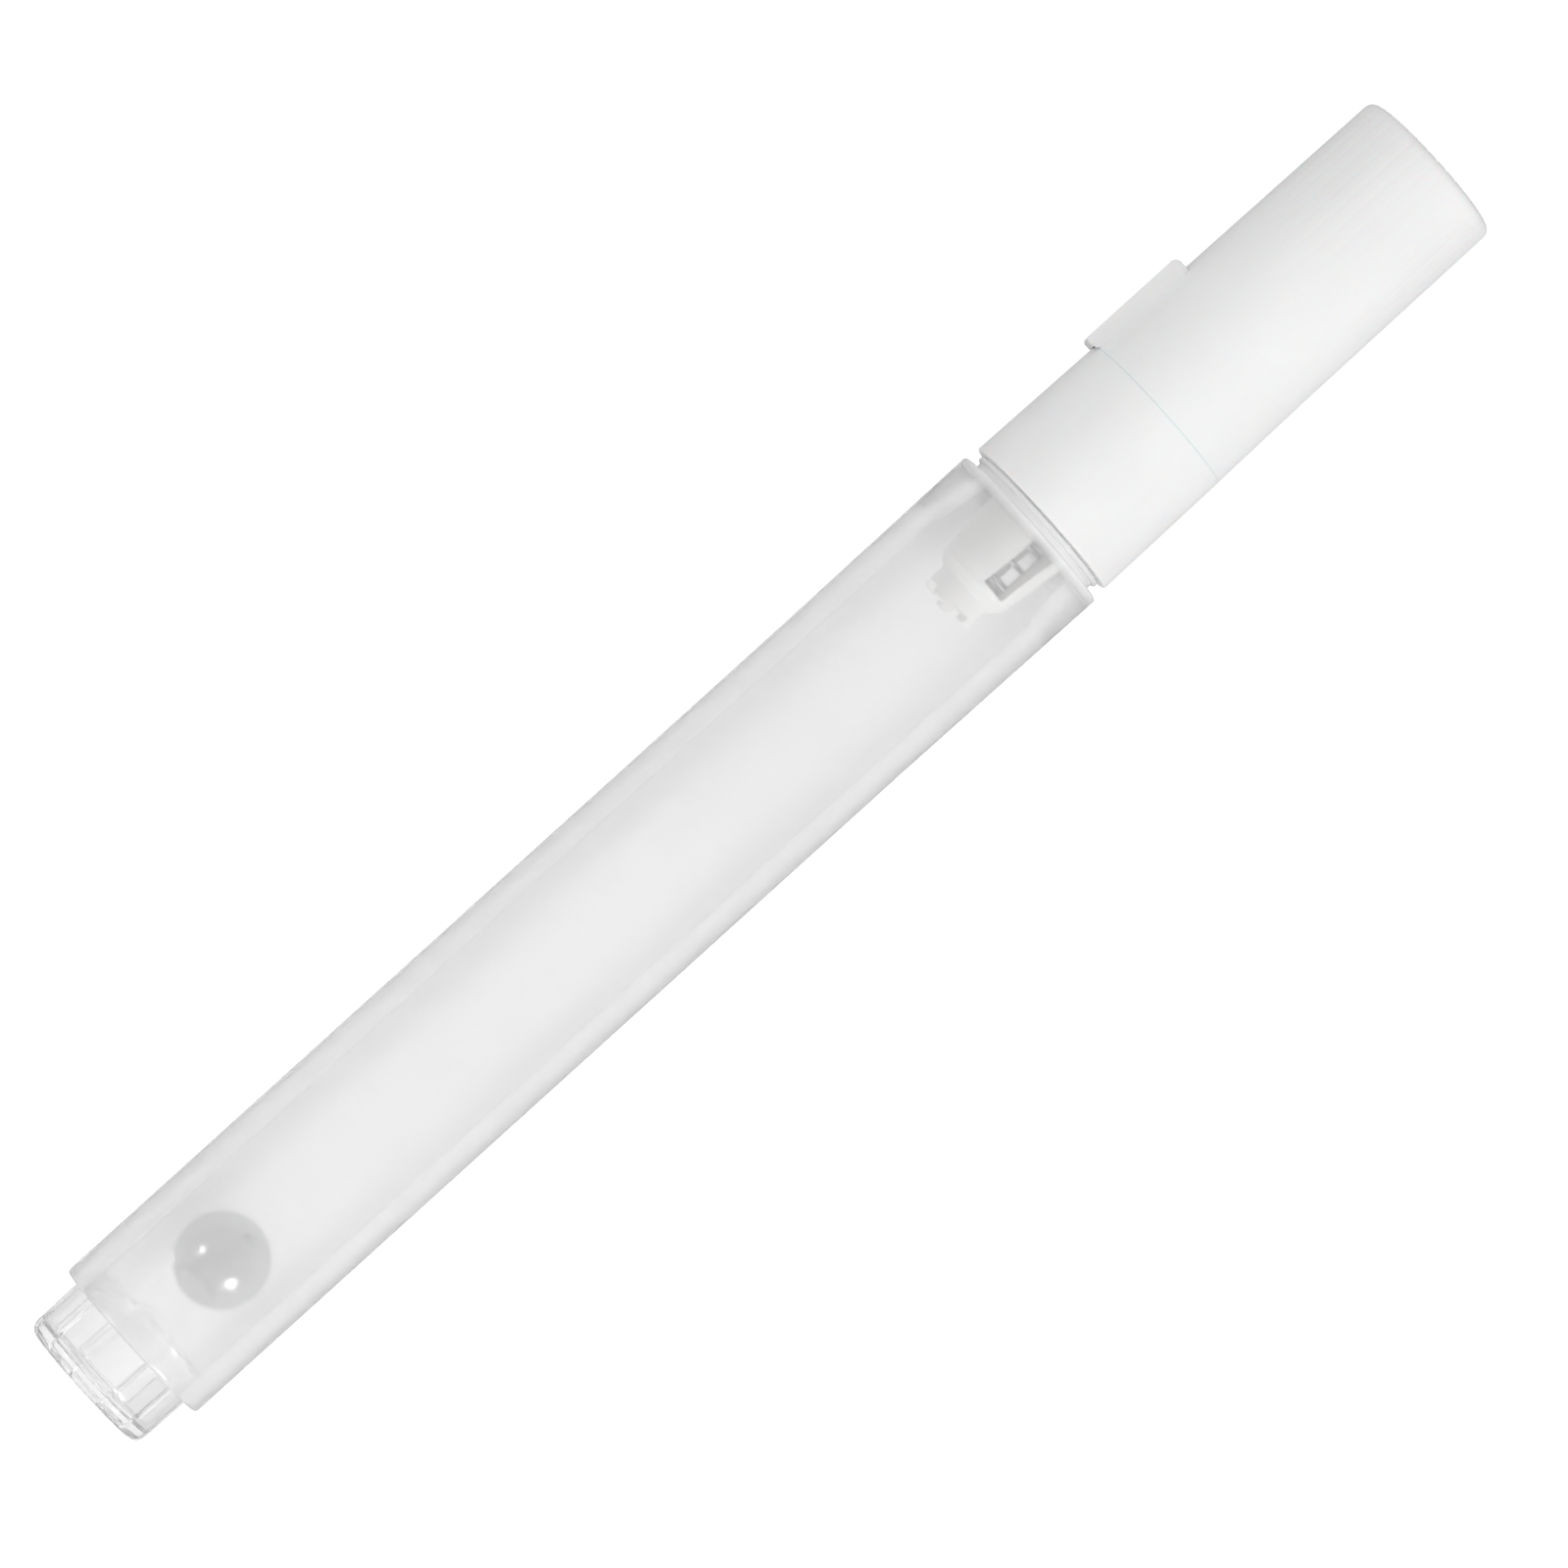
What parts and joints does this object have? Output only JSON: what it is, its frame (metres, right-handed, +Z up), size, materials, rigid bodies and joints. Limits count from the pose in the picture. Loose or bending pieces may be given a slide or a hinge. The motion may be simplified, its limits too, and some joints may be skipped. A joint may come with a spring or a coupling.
{
  "type": "paint marker pen",
  "caption": "Empty refillable valve-action marker pen with a frosted barrel, a clear tail plug, a fibre chisel nib and a pull-off cap with a small lug.",
  "frame": {"origin": "on the surface the pen lies on, under the middle of its length", "axes": "+X along the pen from the tail plug to the closed end of the cap, +Y towards the lug on the cap, +Z up"},
  "size_m": [0.1438, 0.0158, 0.0153],
  "materials": {
    "frosted_plastic": "frosted, translucent",
    "clear_plastic": "clear, moulded",
    "white_plastic": "smooth moulded",
    "natural_plastic": "smooth moulded",
    "polished_steel": "polished",
    "spring_steel": "drawn wire",
    "seal_rubber": "matt",
    "nib_fibre": "pressed fibre"
  },
  "bodies": {
    "barrel": {"barrel": "frosted_plastic", "front_section": "white_plastic", "valve_cage": "natural_plastic", "seat_washer": "seal_rubber", "valve_spring": "spring_steel"},
    "valve": {"nib": "nib_fibre", "valve_stem": "natural_plastic"},
    "cap": {"cap_shell": "white_plastic", "cap_liner": "natural_plastic"},
    "plug": {"end_plug": "clear_plastic"},
    "ball": {"mixing_ball": "polished_steel"}
  },
  "joints": [
    {"name": "cap_pull", "type": "slide", "parent": "barrel", "child": "cap", "axis": [1, 0, 0], "range_m": [0, 0.04]},
    {"name": "nib_press", "type": "slide", "parent": "barrel", "child": "valve", "axis": [-1, 0, 0], "range_m": [0, 0.002], "stiffness_N_per_m": 300, "springref_m": -0.003, "deforming": ["valve_spring"]},
    {"name": "ball_roll", "type": "slide", "parent": "barrel", "child": "ball", "axis": [1, 0, 0], "range_m": [-0.0024, 0.07]},
    {"name": "plug_pull", "type": "slide", "parent": "barrel", "child": "plug", "axis": [-1, 0, 0], "range_m": [0, 0.012]}
  ]
}
